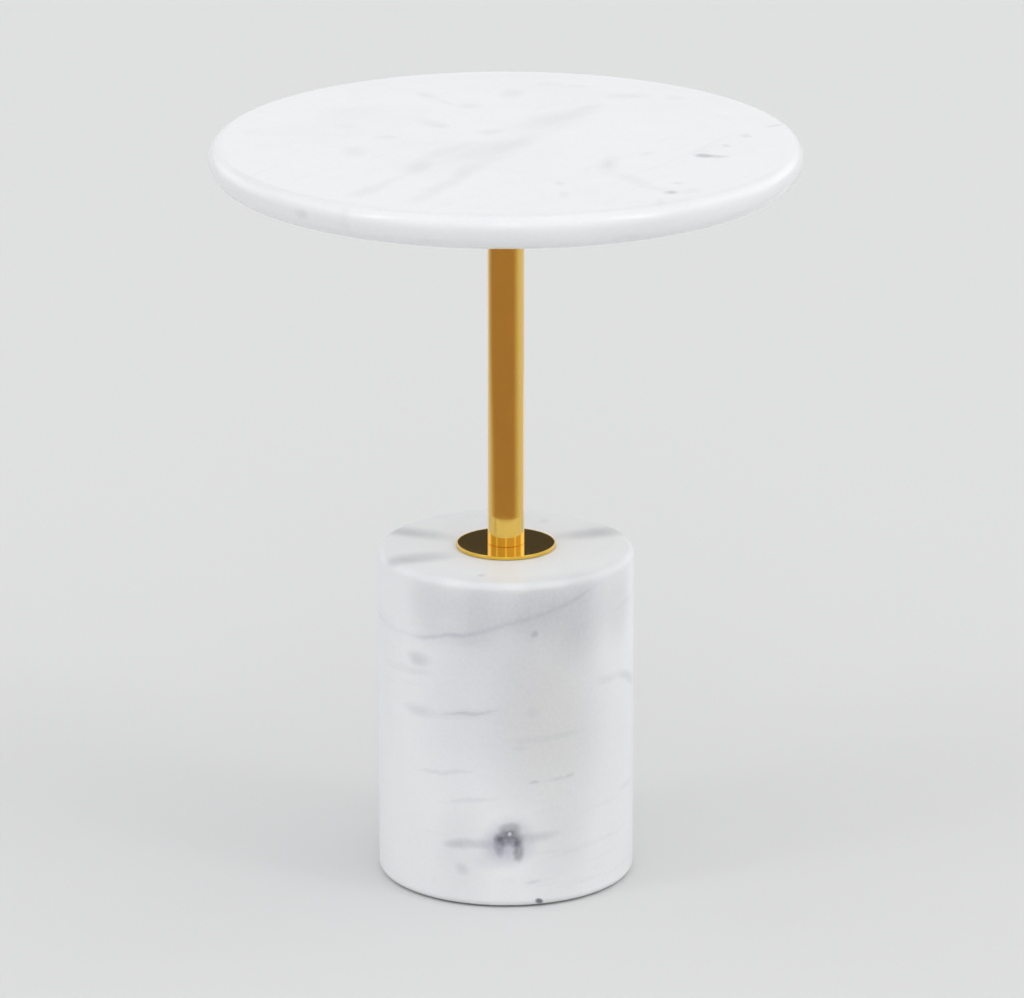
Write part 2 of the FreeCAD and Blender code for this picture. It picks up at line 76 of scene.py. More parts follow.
# Waves of the felt's cut rim: share of its unevenness, waves to a turn, start in radians.
FELT_WAVES = ((0.2, 23, 0.0), (0.18, 41, 1.3), (0.12, 97, 0.4))

# Boxes of the pieces that are made anew, and of those that their holes follow.
TOP_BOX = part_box("table_top")
BASE_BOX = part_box("base_block")
TUBE_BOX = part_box("stem_tube")
FLANGE_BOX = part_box("flange")
FELT_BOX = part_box("felt_disc")
BUSH_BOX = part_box("centring_bush")
WASHER_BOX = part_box("load_washer")
INSERT_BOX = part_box("stone_inserts")


def across(box):
    """Width of a round piece from its box, in metres."""
    return box[1].x - box[0].x


def cylinder(box):
    """Radius, bottom and top of a round piece from its box, in metres."""
    return across(box) / 2, box[0].z, box[1].z


# Marks of the table top, seen from above: x, y of the centre in mm, half length, half width and
# depth in mm, heading in degrees from +X, strength, tone. A strength below zero takes the tone
# out of the marks that lie there.
TOP_MARKS = (
    (-90, -130, 22, 9, 30, 56, 0.15, "grey"),
    (-76, -104, 16, 6, 30, 60, 0.09, "grey"),
    (-58, -70, 22, 10, 30, 70, 0.19, "grey"),
    (-44, -32, 34, 9, 30, 60, 0.10, "grey"),
    (-52, -142, 26, 8, 30, 60, 0.11, "grey"),
    (-36, -108, 30, 8, 30, 66, 0.12, "grey"),
    (-24, -76, 26, 10, 30, 70, 0.14, "grey"),
    (-10, -52, 18, 6, 30, 64, 0.09, "grey"),
    (-16, -26, 46, 20, 30, 52, 0.15, "grey"),
    (-28, -14, 18, 6, 30, 60, 0.06, "grey"),
    (8, -8, 34, 13, 30, 58, 0.11, "grey"),
    (-10, 24, 13, 8, 20, 50, 0.16, "grey"),
    (30, 50, 46, 24, 30, 58, 0.11, "grey"),
    (24, 56, 26, 14, 30, 70, 0.09, "warm"),
    (46, 72, 30, 12, 20, 55, 0.11, "grey"),
    (58, 92, 14, 8, 20, 40, 0.07, "grey"),
    (-50, 46, 18, 9, 20, -50, 0.15, "grey"),
    (-44, 40, 8, 6, 15, 0, 0.09, "grey"),
    (-100, -28, 10, 15, 20, 0, 0.12, "grey"),
    (-80, 9, 9, 7, 15, 0, 0.12, "grey"),
    (-25, 94, 10, 9, 15, 0, 0.16, "grey"),
    (-54, 124, 13, 6, 15, -60, 0.14, "grey"),
    (-43, 106, 10, 4, 15, -55, 0.12, "grey"),
    (4, 130, 10, 16, 15, 0, 0.15, "grey"),
    (30, 156, 11, 8, 15, 0, 0.12, "warm"),
    (50, 150, 8, 5, 15, 0, 0.10, "grey"),
    (84, 122, 18, 9, 15, 0, 0.14, "grey"),
    (116, 118, 7, 9, 15, 0, 0.10, "grey"),
    (-105, 70, 42, 30, 20, 30, 0.08, "warm"),
    (-108, 38, 10, 9, 20, 0, 0.09, "warm"),
    (68, -62, 8, 28, 20, -4, 0.14, "grey"),
    (68, -62, 3, 12, 12, 0, 0.09, "grey"),
    (84, -104, 28, 9, 20, -62, 0.12, "grey"),
    (94, -34, 8, 6, 20, 0, 0.10, "grey"),
    (104, -128, 16, 7, 15, -30, 0.10, "grey"),
    (108, -135, 5.5, 5, 6, 30, 0.62, "grey"),
    (122, -130, 8, 9, 10, 0, 0.12, "grey"),
    (113, -111, 4, 4, 8, 0, 0.24, "grey"),
    (131, -40, 8, 6.5, 7, -15, 0.78, "grey"),
    (141, -42, 9, 5, 6, -10, 0.48, "grey"),
    (130, -30, 10, 7, 8, 40, 0.09, "grey"),
    (149, -13, 3.5, 5.5, 8, 0, 0.26, "grey"),
    (162, 13, 4.5, 6, 8, 0, 0.26, "grey"),
    (182, 40, 9, 3, 8, 36, 0.26, "grey"),
    (35, -111, 4.5, 6, 8, 0, 0.16, "grey"),
    (38, -140, 5, 9, 8, 0, 0.11, "grey"),
    (100, -158, 4, 9, 8, 0, 0.11, "grey"),
    (-108, -170, 8, 5, 15, 0, 0.10, "grey"),
)

# Marks of the top's rim, seen from outside: degrees to the right of the front, height above the
# floor in mm, half length along the rim, half height and depth in mm, rise in degrees, strength,
# tone.
TOP_RIM_MARKS = (
    (-42, 507, 6.5, 4.5, 9, 0, 0.20, "grey"),
    (24, 500, 14, 3, 8, -4, 0.10, "grey"),
    (-14, 499, 16, 3, 8, 2, 0.08, "grey"),
)

# Marks of the base's side, laid out as those of the top's rim. Some rows are painted shade and some
# a painted highlight, as marked below.
BASE_SIDE_MARKS_AND_PAINTED_LIGHT = (
    # The next seven marks are painted shade: a darker band just under the upper rim, where the top
    # shades the base, and down the base's right side.
    (8, 215, 90, 60, 40, 0, 0.20, "grey"),
    (-36, 212, 24, 27, 10, 0, 0.24, "grey"),
    (-12, 212, 24, 27, 10, 0, 0.23, "grey"),
    (12, 212, 24, 27, 10, 0, 0.30, "grey"),
    (34, 207, 28, 40, 12, 0, 0.33, "grey"),
    (60, 206, 24, 36, 10, 0, 0.24, "grey"),
    (44, 120, 46, 110, 22, 0, 0.14, "grey"),
    (-20, 38, 24, 44, 12, 0, 0.15, "grey"),
    (24, 36, 26, 44, 12, 0, 0.15, "grey"),
    # The next five marks, with strength below zero, are a painted highlight: they take the grey out
    # of a band along the upper rim, so that the rim shows brighter.
    (-30, 231, 28, 5.5, 8, 0, -0.09, "grey"),
    (-15, 231, 28, 5.5, 8, 0, -0.11, "grey"),
    (0, 231, 28, 5.5, 16, 0, -0.14, "grey"),
    (15, 231, 28, 5.5, 8, 0, -0.15, "grey"),
    (30, 231, 28, 5.5, 8, 0, -0.11, "grey"),
    (20, 135, 46, 100, 40, 0, 0.40, "warm"),
    (-10, 150, 56, 80, 40, 0, 0.16, "plum"),
    (-43, 172, 12, 6, 14, 0, 0.34, "grey"),
    (13, 197, 3.2, 3.2, 6, 0, 0.40, "grey"),
    (-43, 136, 15, 5, 14, 0, 0.22, "grey"),
    (-16, 139.5, 24, 1.5, 12, 10, 0.30, "grey"),
    (-20, 138, 34, 4, 12, 10, 0.12, "grey"),
    (12, 141, 5, 5, 10, 0, 0.16, "grey"),
    (72, 147, 24, 5, 14, -24, 0.26, "grey"),
    (52, 154, 14, 4, 14, -8, 0.14, "grey"),
    (20, 122, 34, 3, 16, 2, 0.14, "grey"),
    (6, 116, 7, 2.5, 10, 0, 0.14, "grey"),
    (-32, 94, 20, 2, 10, 5, 0.16, "grey"),
    (-22, 97, 12, 1.6, 10, 5, 0.14, "grey"),
    (13, 90, 4.2, 1.8, 6, 10, 0.38, "grey"),
    (24, 92, 14, 1.8, 8, 6, 0.20, "grey"),
    (30, 93, 4, 2, 8, 0, 0.18, "grey"),
    (-16, 77, 22, 2.2, 10, 8, 0.14, "grey"),
    (-17, 45, 20, 4.5, 14, 4, 0.32, "grey"),
    (-24, 44, 8, 3.5, 14, 4, 0.16, "grey"),
    (15, 52, 16, 4, 14, 2, 0.30, "grey"),
    (-20, 27, 6, 5, 8, -30, 0.24, "grey"),
    (-8, 34, 12, 7, 8, 0, 0.12, "plum"),
    (13, 18, 6, 1.8, 6, 0, 0.24, "grey"),
    (15, 4.5, 3.4, 2.4, 6, 0, 0.80, "dark"),
    (1.6, 48, 19, 18, 16, 0, 0.46, "plum"),
    (-6, 44, 12, 9, 12, 0, 0.18, "plum"),
    (1.6, 58, 9, 5, 8, 0, 0.32, "dark"),
    (1.6, 51, 12, 6.5, 9, 0, 0.50, "dark"),
    (1.6, 51.5, 7, 2, 6, 0, 0.14, "dark"),
    (-3.2, 46, 4.6, 9, 8, 0, 0.30, "dark"),
    (5.9, 42.5, 4.8, 9.5, 8, 0, 0.42, "dark"),
    (1.8, 54, 1.7, 1.9, 4, 0, -0.75, "dark"),
    (1.4, 42, 2.4, 5, 6, 0, -0.08, "dark"),
    (108, 118, 30, 4, 12, 6, 0.20, "grey"),
    (122, 64, 24, 3, 12, 4, 0.18, "grey"),
    (138, 182, 20, 9, 14, -8, 0.20, "grey"),
    (152, 96, 36, 3, 12, 8, 0.20, "grey"),
    (163, 40, 14, 7, 12, 0, 0.16, "plum"),
    (176, 150, 40, 30, 30, 0, 0.12, "warm"),
    (188, 122, 26, 2.4, 10, 5, 0.24, "grey"),
    (204, 58, 30, 4, 12, 3, 0.22, "grey"),
    (218, 160, 16, 7, 12, 12, 0.22, "grey"),
    (236, 92, 34, 2.6, 12, 7, 0.20, "grey"),
    (250, 30, 18, 5, 12, -4, 0.18, "grey"),
    (264, 128, 22, 3, 12, 6, 0.20, "grey"),
)

# Marks of the base's upper face, laid out as those of the table top.
BASE_TOP_MARKS = (
    (-62, 28, 30, 13, 5, -26, 0.42, "grey"),
    (-72, 32, 16, 10, 5, -26, 0.16, "grey"),
    (-60, -28, 30, 14, 5, 20, 0.46, "grey"),
    (-72, -34, 14, 9, 5, 20, 0.16, "grey"),
    (58, 27, 28, 14, 5, 22, 0.48, "grey"),
    (68, 31, 16, 11, 4, 24, 0.24, "warm"),
    (-17, -67, 4, 4.5, 4, 0, 0.34, "grey"),
    (26, 56, 4, 6, 4, 0, 0.16, "grey"),
    (6, -62, 36, 20, 6, 0, -0.16, "grey"),
)

# Tones of the marks, in the order in which they are laid over each other.
TONES = ("warm", "grey", "plum", "dark")
# Where a mark starts to fade and where it ends, as shares of its half size.
SOFT_FADE = (0.15, 1.25)
FIRM_FADE = (0.40, 1.12)
# Between these lie most values of a noise, and those where zinc turns yellow.
NOISE_RANGE = (0.3, 0.7)
BLOOM_RANGE = (0.42, 0.7)


class Vein(NamedTuple):
    """A vein that runs right through a piece: a point of it, its normal, half width in mm."""

    point: tuple
    normal: tuple
    half_width: float
    strength: float


BASE_VEIN = Vein(
    point=(-38.0, -79.0, 192.7), normal=(-0.28, -0.125, 0.952), half_width=2.8, strength=0.26)


class StoneLook(NamedTuple):
    """What sets the marble of one piece apart: its streaks, shade and shine."""

    streak_heading: float
    streak_tilt: float
    streak_stretch: tuple
    streaks: float
    hairlines: float
    shade: float
    specular: float
    roughness: float
    coat: float


TOP_LOOK = StoneLook(
    streak_heading=math.radians(57), streak_tilt=0.0, streak_stretch=(7, 1, 1.4),
    streaks=0.08, hairlines=0.02, shade=1.0, specular=0.5, roughness=0.13, coat=0.25)
BASE_LOOK = StoneLook(
    streak_heading=math.radians(8), streak_tilt=math.radians(-6), streak_stretch=(8, 6, 1),
    streaks=0.16, hairlines=0.05, shade=0.99, specular=0.24, roughness=0.28, coat=0.05)

# Where one part of the studio's light gives way to the next, by direction: parts of it to the
# side, to the back and up, or turns from the front in radians.
TENT_FRONT_TO_BACK = (-0.5, 0.5)
TENT_TO_SIDES = (0.45, 0.85)
TENT_TO_ZENITH = (0.84, 0.97)
WALL_FRONT_TO_BACK = (0.15, 0.45)
WALL_TO_CORNERS = (0.35, 0.7)
WALLS_TO_TENT = (0.34, 0.48)
FLOOR_TO_WALLS = (0.02, 0.06)
LAMP_EDGE = (math.radians(3), math.radians(7.5))
LAMP_FOOT = (0.06, 0.12)
LAMP_HEAD = (0.80, 0.90)
LAMP_DIM_TO_BRIGHT = (0.36, 0.50)
LAMP_FRONT_TO_SIDES = (math.radians(20), math.radians(40))
COOL_TO_NEUTRAL = (-0.8, 0.4)
COOL_TINT = (0.99, 1.0, 1.015)


def length_property(name, description, default, least=0.0):
    """A length in metres."""
    return FloatProperty(
        name=name, description=description, default=default, min=least, unit="LENGTH")


def colour_property(name, description, default):
    """A colour in linear shares of red, green and blue."""
    return FloatVectorProperty(
        name=name, description=description, default=default, size=3, min=0, max=1,
        subtype="COLOR")


def level_property(name, description, default):
    """A brightness, or a strength of light."""
    return FloatProperty(name=name, description=description, default=default, min=0)


def turn_property(name, description, degrees):
    """An angle, with its default in degrees."""
    return FloatProperty(
        name=name, description=description, default=math.radians(degrees), unit="ROTATION")


class SideTableSizes(PropertyGroup):
    top_upper_round: length_property(
        "Top Upper Round", "Round of the table top's upper rim", 9 * MM, MM)
    top_lower_round: length_property(
        "Top Lower Round", "Round of the table top's lower rim", 14 * MM, MM)
    insert_hole: length_property(
        "Insert Hole", "Width of the blind holes for the stone inserts", 10.2 * MM, MM)
    insert_hole_depth: length_property(
        "Insert Hole Depth", "Depth of the blind holes for the stone inserts", 17 * MM, MM)
    base_round: length_property("Base Round", "Round of both rims of the base", 5 * MM, MM)
    base_bore: length_property("Base Bore", "Width of the bore through the base", 14 * MM, MM)
    socket_gap: length_property(
        "Socket Gap", "Free space round and under the bush in the base", 0.5 * MM)
    recess_gap: length_property(
        "Recess Gap", "Free space round the load washer in the base", 5 * MM)
    recess_chamfer: length_property("Recess Chamfer", "Chamfer of the recess's mouth", 1 * MM)
    tube_wall: length_property("Tube Wall", "Wall of the stem tube", 1.5 * MM, 0.1 * MM)
    tube_chamfer: length_property("Tube Chamfer", "Chamfer of the tube's ends", 0.3 * MM)
    flange_round: length_property(
        "Flange Round", "Round of the flange's upper rim", 0.3 * MM, 0.1 * MM)
    felt_round: length_property("Felt Round", "Round of the felt's rims", 0.3 * MM, 0.1 * MM)
    felt_unevenness: length_property(
        "Felt Unevenness", "How far the felt's cut rim wanders inwards", 0.4 * MM)
    sides: IntProperty(
        name="Sides", description="Straight sides that a round piece is made of", default=256,
        min=32, max=512)
    round_steps: IntProperty(
        name="Round Steps", description="Flats that a rounded rim is made of", default=14, min=2,
        max=32)


class SideTableColours(PropertyGroup):
    stone: colour_property("Stone", "White of the marble", (0.865, 0.875, 0.885))
    stone_cloud: colour_property(
        "Stone Cloud", "Cool shade of the marble's clouds", (0.80, 0.815, 0.835))
    vein_grey: colour_property(
        "Vein Grey", "Grey of the soft streaks in the marble", (0.40, 0.42, 0.45))
    vein_warm: colour_property(
        "Vein Warm", "Warm grey of some streaks in the marble", (0.51, 0.49, 0.46))
    vein_plum: colour_property(
        "Vein Plum", "Purplish grey of the through vein in the marble", (0.225, 0.215, 0.33))
    vein_dark: colour_property(
        "Vein Dark", "Darkest tone of the knots in the marble", (0.018, 0.019, 0.036))
    brass: colour_property("Brass", "Polished brass", (0.88, 0.56, 0.075))
    turned_brass: colour_property(
        "Turned Brass", "Turned brass of bush, hub and inserts", (0.72, 0.52, 0.22))
    zinc: colour_property(
        "Zinc", "Plated steel of rod, nut, washers and screws", (0.60, 0.61, 0.62))
    powder: colour_property(
        "Powder Coat", "Black powder coat of the plate under the top", (0.028, 0.028, 0.030))
    rubber: colour_property("Rubber", "Rubber of the gaskets", (0.022, 0.022, 0.023))
    felt: colour_property("Felt", "Felt under the base", (0.34, 0.34, 0.335))
    floor: colour_property("Floor", "Pale studio floor", (0.723, 0.723, 0.723))


class SideTableStage(PropertyGroup):
    camera_place: FloatVectorProperty(
        name="Camera Place", description="Where the camera stands", default=(0.0041, -4.990, 1.810),
        size=3, unit="LENGTH", subtype="TRANSLATION")
    camera_dip: FloatProperty(
        name="Camera Dip", description="How far the camera looks below the horizon", default=0.3002,
        unit="ROTATION")
    lens: FloatProperty(
        name="Lens", description="Focal length in millimetres", default=269.2, min=1)
    floor_reach: length_property("Floor Reach", "Half the width of the floor", 60.0, 1)
    floor_hole: length_property(
        "Floor Hole", "Radius of the opening in the floor under the felt", 0.0805, 0.001)
    light: level_property("Light", "Strength of the studio's light", 0.99)
    tent_front: level_property(
        "Tent Front", "Brightness of the white tent in front of the table", 1.15)
    tent_back: level_property("Tent Back", "Brightness of the white tent behind the table", 0.56)
    tent_sides: level_property("Tent Sides", "Brightness of the white tent beside the table", 1.28)
    zenith: level_property("Zenith", "Brightness straight overhead", 0.95)
    back_wall: level_property("Back Wall", "Brightness low down behind the table", 0.86)
    back_corners: level_property(
        "Back Corners", "Brightness low down behind the table, to both sides", 1.40)
    front_wall: level_property("Front Wall", "Brightness low down in front and beside", 0.70)
    strip: level_property("Strips", "Brightness of the two upright lamps to the sides", 3.6)
    front_strip: level_property("Front Strip", "Brightness of the upright lamp in front", 2.4)
    strip_foot: level_property("Strip Foot", "Brightness of the lamps' dimmer lower ends", 1.1)
    strip_turn: turn_property("Strip Turn", "Turn from one upright lamp to the next", 60)
    right_lean: FloatProperty(
        name="Right Lean", description="Share by which the right is brighter than the left",
        default=0.10, subtype="FACTOR")
    card_inner: length_property(
        "Card Inner Radius", "Inner edge of the brown card round the table", 0.62, 0.1)
    card_inner_fade: length_property(
        "Card Inner Fade", "Width over which the card's inner edge fades", 0.12, 0.001)
    card_outer: length_property(
        "Card Outer Radius", "Outer edge of the brown card round the table", 4.0, 0.2)
    card_left_turn: turn_property(
        "Card Left Turn", "How far the card goes round to the left of the front", 122)
    card_right_turn: turn_property(
        "Card Right Turn", "How far the card goes round to the right of the front", 100)
    card_fade: turn_property("Card Fade", "Turn over which the card's ends fade", 60)
    card_taper: turn_property("Card Taper", "Turn by which the card's left end widens outwards", 28)
    card_taper_start: length_property(
        "Card Taper Start", "Distance from which the card's left end widens", 0.83, 0.1)
    card_taper_reach: length_property(
        "Card Taper Reach", "Distance over which the card's left end widens", 0.6, 0.01)
    card: colour_property("Card", "Warm brown that the polished stem mirrors", (0.41, 0.275, 0.21))
    flag: colour_property("Flag", "Near black that the flange mirrors", (0.07, 0.07, 0.08))
    flag_distance: length_property(
        "Flag Distance", "How far the dark flag stands behind the stem", 0.5, 0.1)
    flag_height: length_property("Flag Height", "Height of the dark flag's middle", 0.389)
    flag_spread: FloatProperty(
        name="Flag Spread", description="Width of the dark flag as a share of the flange's",
        default=1.3, min=0.1)
    flag_squash: FloatProperty(
        name="Flag Squash", description="Height of the oval dark flag as a share of its width",
        default=0.42, min=0.01, max=1, subtype="FACTOR")
    gleam_near: length_property("Gleam Near", "Near edge of the white card", 0.46, 0.1)
    gleam_far: length_property("Gleam Far", "Far edge of the white card", 1.2, 0.1)
    gleam_start: turn_property(
        "Gleam Start", "Turn from the front to where the white card starts", 144)
    gleam_turn: turn_property("Gleam Turn", "Turn that the white card covers", 7)
    gleam: level_property("Gleam", "Brightness of the white card that edges the base", 1.1)


def rgba(tint):
    """A colour with its opacity, or a socket as it is."""
    return tint if isinstance(tint, bpy.types.NodeSocket) else (*tint, 1.0)


def times(tint, factor):
    """A colour made darker or lighter."""
    return tuple(c * factor for c in tint)


class Shader:
    """A node tree that is put together line by line; values are numbers, tuples or sockets."""

    def __init__(self, owner):
        owner.use_nodes = True
        self.owner = owner
        self.tree = owner.node_tree
        self.tree.nodes.clear()

    def node(self, kind, settings=None, inputs=None):
        """Adds a node; inputs are given by the name or the number of the socket."""
        made = self.tree.nodes.new(kind)
        for key, setting in (settings or {}).items():
            setattr(made, key, setting)
        for key, given in (inputs or {}).items():
            if isinstance(given, bpy.types.NodeSocket):
                self.tree.links.new(given, made.inputs[key])
            else:
                made.inputs[key].default_value = given
        return made

    def place(self):
        """The point of the piece in its own frame."""
        return self.node("ShaderNodeTexCoord").outputs["Object"]

    def xyz(self, at):
        """The three parts of a point or direction."""
        return tuple(self.node("ShaderNodeSeparateXYZ", {}, {0: at}).outputs)

    def math(self, kind, a, b=0.0, clamp=False):
        return self.node(
            "ShaderNodeMath", {"operation": kind, "use_clamp": clamp}, {0: a, 1: b}).outputs[0]

    def vector(self, kind, a, b=(0, 0, 0)):
        made = self.node("ShaderNodeVectorMath", {"operation": kind}, {0: a, 1: b})
        return made.outputs["Value" if kind in ("LENGTH", "DOT_PRODUCT") else "Vector"]

    def scaled(self, a, factor):
        return self.node(
            "ShaderNodeVectorMath", {"operation": "SCALE"}, {0: a, "Scale": factor}).outputs[0]

    def turn(self, x, y):
        """The turn from the front to a point, to the right."""
        return self.math("ARCTAN2", x, self.math("MULTIPLY", y, -1.0))

    def noise(self, at, scale, detail=2.0, roughness=0.5, output=0):
        """Noise from 0 to 1, with about as many lumps to a metre as the scale says."""
        made = self.node(
            "ShaderNodeTexNoise", {},
            {"Vector": at, "Scale": scale, "Detail": detail, "Roughness": roughness})
        return made.outputs[output]

    def wander(self, at, scale, detail, reach):
        """A random shift, by up to half the reach each way."""
        noise = self.noise(at, scale, detail, output="Color")
        return self.scaled(self.vector("SUBTRACT", noise, (0.5, 0.5, 0.5)), reach)

    def span(self, a, low, high, to_low=0.0, to_high=1.0):
        """Maps a range smoothly to another and holds it beyond the ends."""
        made = self.node(
            "ShaderNodeMapRange", {"interpolation_type": "SMOOTHSTEP"},
            {"Value": a, "From Min": low, "From Max": high, "To Min": to_low, "To Max": to_high})
        return made.outputs[0]

    def lines(self, noise, half_width):
        """Thin lines where a noise passes its middle."""
        off_line = self.math("ABSOLUTE", self.math("SUBTRACT", noise, 0.5))
        return self.span(off_line, 0.0, half_width, 1.0, 0.0)

    def mix(self, share, a, b):
        """Mixes two colours."""
        made = self.node(
            "ShaderNodeMix", {"data_type": "RGBA"}, {0: share, 6: rgba(a), 7: rgba(b)})
        return made.outputs[2]

    def mapped(self, at, kind="POINT", location=(0, 0, 0), rotation=(0, 0, 0), scale=(1, 1, 1)):
        made = self.node(
            "ShaderNodeMapping", {"vector_type": kind},
            {"Vector": at, "Location": location, "Rotation": rotation, "Scale": scale})
        return made.outputs[0]

    def bump(self, height, distance, strength=1.0):
        made = self.node(
            "ShaderNodeBump", {}, {"Height": height, "Distance": distance, "Strength": strength})
        return made.outputs[0]

    def close(self, shade, kind="ShaderNodeOutputMaterial"):
        """Joins the last shading node to an output and returns the finished owner."""
        output = self.node(kind)
        self.tree.links.new(shade.outputs[0], output.inputs[0])
        return self.owner

    def surface(self, **inputs):
        """Closes a material with one principled surface; an underscore stands for a space."""
        named = {key.replace("_", " "): given for key, given in inputs.items()}
        return self.close(self.node("ShaderNodeBsdfPrincipled", {}, named))


def start_material(name):
    """A shader for a new material, and the point of the piece in it."""
    s = Shader(bpy.data.materials.new(name))
    return s, s.place()


def top_mark(mark, box):
    """A mark of a flat upper face as centre, turn, half sizes in metres, strength and tone."""
    x, y, half_length, half_width, depth, heading, strength, tone = mark
    centre = Vector((x, y, 0)) * MM
    centre.z = box[1].z
    half = Vector((half_length, half_width, depth)) * MM
    return centre, (0, 0, math.radians(heading)), half, strength, tone


def side_mark(mark, box):
    """A mark of a round side as centre, turn, half sizes in metres, strength and tone."""
    turn, height, half_length, half_height, depth, rise, strength, tone = mark
    angle = math.radians(turn)
    centre = Vector((math.sin(angle), -math.cos(angle), 0)) * across(box) / 2
    centre.z = height * MM
    facing = Matrix.Rotation(angle, 3, "Z") @ Matrix.Rotation(-math.radians(rise), 3, "Y")
    half = Vector((half_length, depth, half_height)) * MM
    return centre, tuple(facing.to_euler()), half, strength, tone


def vein_share(s, at, bent, vein):
    """How much of a through vein shows at a point: a thin sheet with a faint halo."""
    point = Vector(vein.point) * MM
    normal = Vector(vein.normal).normalized()
    half_width = vein.half_width * MM
    along_normal = s.vector("DOT_PRODUCT", bent, tuple(normal))
    off_sheet = s.math("ABSOLUTE", s.math("SUBTRACT", along_normal, point.dot(normal)))
    from_point = s.vector("LENGTH", s.vector("SUBTRACT", at, tuple(point)))
    x, _, z = s.xyz(at)
    # The vein comes and goes, and fades away from its point, to the left and at the upper face.
    seen = s.span(s.noise(at, 26, 3), 0.36, 0.66, 0.45, 1.0)
    for fade in (
        s.span(from_point, 0.03, 0.10, 1.0, 0.7),
        s.span(x, -0.075, -0.045, 0.4, 1.0),
        s.span(z, 0.218, 0.229, 1.0, 0.0),
    ):
        seen = s.math("MULTIPLY", seen, fade)
    sheet = s.span(off_sheet, 0.0, half_width, vein.strength, 0.0)
    halo = s.span(off_sheet, 0.0, 4 * half_width, 0.3 * vein.strength, 0.0)
    return s.math("MULTIPLY", s.math("ADD", sheet, halo), seen)


def stone_material(name, marks, look, vein=None):
    """Polished white marble: clouds, streaks, hairlines, crystals and the marks of one piece, which
    on the base include painted shade and a painted highlight.
    """
    colours = bpy.context.scene.side_table_colours
    s, at = start_material(name)
    # The stone has flowed: every mark is drawn on a slightly bent copy of its space.
    broad, fine = s.wander(at, 34, 3, 7 * MM), s.wander(at, 210, 2, 1.1 * MM)
    bent = s.vector("ADD", at, s.vector("ADD", broad, fine))

    clouds = s.span(s.noise(bent, 9, 5, 0.6), 0.40, 0.72)
    along = s.mapped(
        at, "TEXTURE", rotation=(0, look.streak_tilt, look.streak_heading),
        scale=look.streak_stretch)
    streak_places = s.span(s.noise(at, 11, 2), 0.44, 0.66)
    streaks = s.math(
        "MULTIPLY", s.span(s.noise(along, 95, 5, 0.55), 0.55, 0.74), streak_places)
    hairline_places = s.span(s.noise(at, 16, 2), 0.52, 0.68)
    hairlines = s.math(
        "MULTIPLY", s.lines(s.noise(along, 26, 6, 0.6), 0.010), hairline_places)
    white, cloud = times(colours.stone, look.shade), times(colours.stone_cloud, look.shade)
    colour = s.mix(s.math("MULTIPLY", clouds, 0.45), white, cloud)
    colour = s.mix(s.math("MULTIPLY", streaks, look.streaks), colour, colours.vein_grey)
    colour = s.mix(s.math("MULTIPLY", hairlines, look.hairlines), colour, colours.vein_grey)

    shares = {}
    for centre, turn, half, strength, tone in marks:
        inside = s.vector("LENGTH", s.mapped(bent, "TEXTURE", tuple(centre), turn, tuple(half)))
        heart, edge = FIRM_FADE if tone == "dark" else SOFT_FADE
        share = s.span(inside, heart, edge, strength, 0.0)
        shares[tone] = s.math("ADD", shares.get(tone, 0.0), share)
    if vein:
        shares["plum"] = s.math("ADD", shares.get("plum", 0.0), vein_share(s, at, bent, vein))
    grit = s.span(s.noise(at, 420, 3, 0.6), *NOISE_RANGE, 0.92, 1.06)
    for tone in TONES:
        if tone in shares:
            share = s.math("MULTIPLY", shares[tone], grit, clamp=True)
            colour = s.mix(share, colour, getattr(colours, "vein_" + tone))
    crystals = s.node("ShaderNodeTexVoronoi", {}, {"Vector": at, "Scale": 620.0})
    crystal = s.vector("DOT_PRODUCT", crystals.outputs["Color"], (0.33, 0.33, 0.33))
    colour = s.mix(s.span(crystal, 0.2, 0.8, 0.0, 0.035), colour, colours.vein_grey)

    rough = s.span(s.noise(at, 45, 4), *NOISE_RANGE, look.roughness, look.roughness + 0.08)
    lapping = s.bump(s.noise(at, 60, 2), 0.02 * MM, 0.3)
    return s.surface(
        Base_Color=colour, Roughness=rough, IOR=1.5, Specular_IOR_Level=look.specular,
        Normal=lapping, Coat_Weight=look.coat, Coat_Roughness=0.06)


def brass_material(name, ring_scale, roughness, lacquer):
    """Polished brass: rings of the polishing wheel, faint smears, scratches and clear lacquer."""
    brass = bpy.context.scene.side_table_colours.brass
    s, at = start_material(name)
    rings = s.noise(s.mapped(at, scale=ring_scale), 1.0, 3, 0.6)
    smears = s.noise(s.mapped(at, scale=(1, 1, 0.45)), 38, 4, 0.6)
    scratches = s.lines(s.noise(at, 150, 5, 0.7), 0.006)
    colour = s.mix(s.span(smears, 0.35, 0.7), brass, times(brass, 0.93))
    rough = s.span(smears, *NOISE_RANGE, roughness, 2 * roughness)
    rough = s.math("ADD", rough, s.math("MULTIPLY", scratches, roughness))
    return s.surface(
        Base_Color=colour, Metallic=1.0, Roughness=rough, Normal=s.bump(rings, 0.02 * MM, 0.25),
        Coat_Weight=lacquer, Coat_Roughness=0.04, Coat_IOR=1.62)


def turned_material(name, tint, groove_pitch, roughness):
    """Metal straight from the lathe: grooves of the turning tool and a slightly uneven shine."""
    s, at = start_material(name)
    _, _, z = s.xyz(at)
    radius = s.vector("LENGTH", s.vector("MULTIPLY", at, (1, 1, 0)))
    feed = s.math("MULTIPLY", s.math("ADD", z, radius), 2 * math.pi / groove_pitch)
    grooves = s.math("SINE", feed)
    patches = s.noise(at, 60, 4, 0.6)
    colour = s.mix(s.span(patches, *NOISE_RANGE), tint, times(tint, 0.8))
    rough = s.span(patches, *NOISE_RANGE, roughness, roughness + 0.1)
    return s.surface(
        Base_Color=colour, Metallic=1.0, Roughness=rough, Normal=s.bump(grooves, 0.02 * MM, 0.5))


def yellowed(tint, blue_left):
    """The colour of zinc under its faint yellow bloom."""
    return tint[0] * 0.98, tint[1] * 0.93, tint[2] * blue_left


